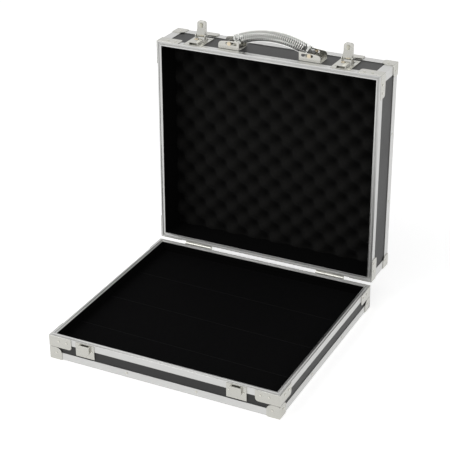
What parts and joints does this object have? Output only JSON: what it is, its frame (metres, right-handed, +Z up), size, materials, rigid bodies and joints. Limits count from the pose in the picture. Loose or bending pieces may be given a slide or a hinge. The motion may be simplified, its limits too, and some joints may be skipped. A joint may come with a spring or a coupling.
{
  "type": "effects pedal case",
  "caption": "Shallow hinged flight case of black laminated panels in aluminium profiles, with a deep foam-lined lid, lever latches and a coil-wound carrying handle, standing open.",
  "frame": {"origin": "On the ground under the middle of the standing open case's bounding box.", "axes": "X along the front edge to the right, Y from the front to the back, Z up."},
  "size_m": [0.4544, 0.5146, 0.5044],
  "materials": {
    "black_laminate": "fine grained black laminate on plywood",
    "aluminium": "satin extruded aluminium",
    "zinc_steel": "bright zinc-plated pressed steel",
    "bright_steel": "nickel-plated wire and strap",
    "rivet_steel": "plated rivet heads",
    "brass_plate": "yellow passivated steel",
    "clear_plastic": "clear soft plastic tube",
    "black_lining": "thin black textile",
    "black_foam": "open-cell egg-crate foam",
    "black_carpet": "black loop carpet"
  },
  "bodies": {
    "tray": {"base_bottom_panel": "black_laminate", "base_front_panel": "black_laminate", "base_back_panel": "black_laminate", "base_left_panel": "black_laminate", "base_right_panel": "black_laminate", "base_rim_front": "aluminium", "base_rim_back": "aluminium", "base_rim_left": "aluminium", "base_rim_right": "aluminium", "base_edge_front": "aluminium", "base_edge_back": "aluminium", "base_edge_sides": "aluminium", "base_corner_angles": "aluminium", "base_ball_corners": "zinc_steel", "base_rim_brackets": "zinc_steel", "base_rivets": "rivet_steel", "base_wall_lining": "black_lining", "floor_pad": "black_foam", "floor_carpet": "black_carpet", "catch_plate_left": "zinc_steel", "catch_plate_right": "zinc_steel", "hinge_base_leaf_left": "zinc_steel", "hinge_base_leaf_right": "zinc_steel", "hinge_pins": "zinc_steel"},
    "lid": {"lid_top_panel": "black_laminate", "lid_front_panel": "black_laminate", "lid_back_panel": "black_laminate", "lid_left_panel": "black_laminate", "lid_right_panel": "black_laminate", "lid_rim_front": "aluminium", "lid_rim_back": "aluminium", "lid_rim_left": "aluminium", "lid_rim_right": "aluminium", "lid_edge_front": "aluminium", "lid_edge_back": "aluminium", "lid_edge_sides": "aluminium", "lid_corner_angles": "aluminium", "lid_ball_corners": "zinc_steel", "lid_rim_brackets": "zinc_steel", "lid_rivets": "rivet_steel", "lid_wall_lining": "black_lining", "lid_foam": "black_foam", "hinge_lid_leaf_left": "zinc_steel", "hinge_lid_leaf_right": "zinc_steel", "latch_plate_left": "zinc_steel", "latch_plate_right": "zinc_steel", "latch_lever_pins": "zinc_steel", "latch_clips": "zinc_steel", "handle_brackets": "zinc_steel"},
    "left_lever": {"latch_lever_left": "zinc_steel"},
    "right_lever": {"latch_lever_right": "zinc_steel"},
    "left_lock": {"lock_barrel_left": "brass_plate"},
    "right_lock": {"lock_barrel_right": "brass_plate"},
    "left_tongue": {"latch_tongue_left": "zinc_steel"},
    "right_tongue": {"latch_tongue_right": "zinc_steel"},
    "handle": {"handle_strap": "bright_steel", "handle_ferrules": "bright_steel", "handle_winding": "bright_steel", "handle_sleeve": "clear_plastic", "handle_pins": "brass_plate"}
  },
  "joints": [
    {"name": "lid_hinge", "type": "hinge", "parent": "tray", "child": "lid", "pos_m": [0, 0.16305, 0.04765], "axis": [1, 0, 0], "range_deg": [0, 91.1]},
    {"name": "left_lever_pivot", "type": "hinge", "parent": "lid", "child": "left_lever", "pos_m": [-0.1515, 0.21154, 0.4709], "axis": [1, 0, 0], "range_deg": [0, 90]},
    {"name": "left_tongue_slide", "type": "slide", "parent": "lid", "child": "left_tongue", "axis": [0, -0.9998, 0.0192], "range_m": [0, 0.024]},
    {"name": "left_lock_turn", "type": "hinge", "parent": "left_lever", "child": "left_lock", "pos_m": [-0.1515, 0.21193, 0.49139], "axis": [0, 0.9998, -0.0192], "range_deg": [0, 90]},
    {"name": "right_lever_pivot", "type": "hinge", "parent": "lid", "child": "right_lever", "pos_m": [0.1455, 0.21154, 0.4709], "axis": [1, 0, 0], "range_deg": [0, 90]},
    {"name": "right_tongue_slide", "type": "slide", "parent": "lid", "child": "right_tongue", "axis": [0, -0.9998, 0.0192], "range_m": [0, 0.024]},
    {"name": "right_lock_turn", "type": "hinge", "parent": "right_lever", "child": "right_lock", "pos_m": [0.1455, 0.21193, 0.49139], "axis": [0, 0.9998, -0.0192], "range_deg": [0, 90]},
    {"name": "handle_slide", "type": "slide", "parent": "lid", "child": "handle", "axis": [1, 0, 0], "range_m": [-0.005, 0.005]}
  ],
  "couplings": [
    {"joint": "left_tongue_slide", "follows": "left_lever_pivot", "m_per_rad": 0.015279},
    {"joint": "right_tongue_slide", "follows": "right_lever_pivot", "m_per_rad": 0.015279}
  ]
}
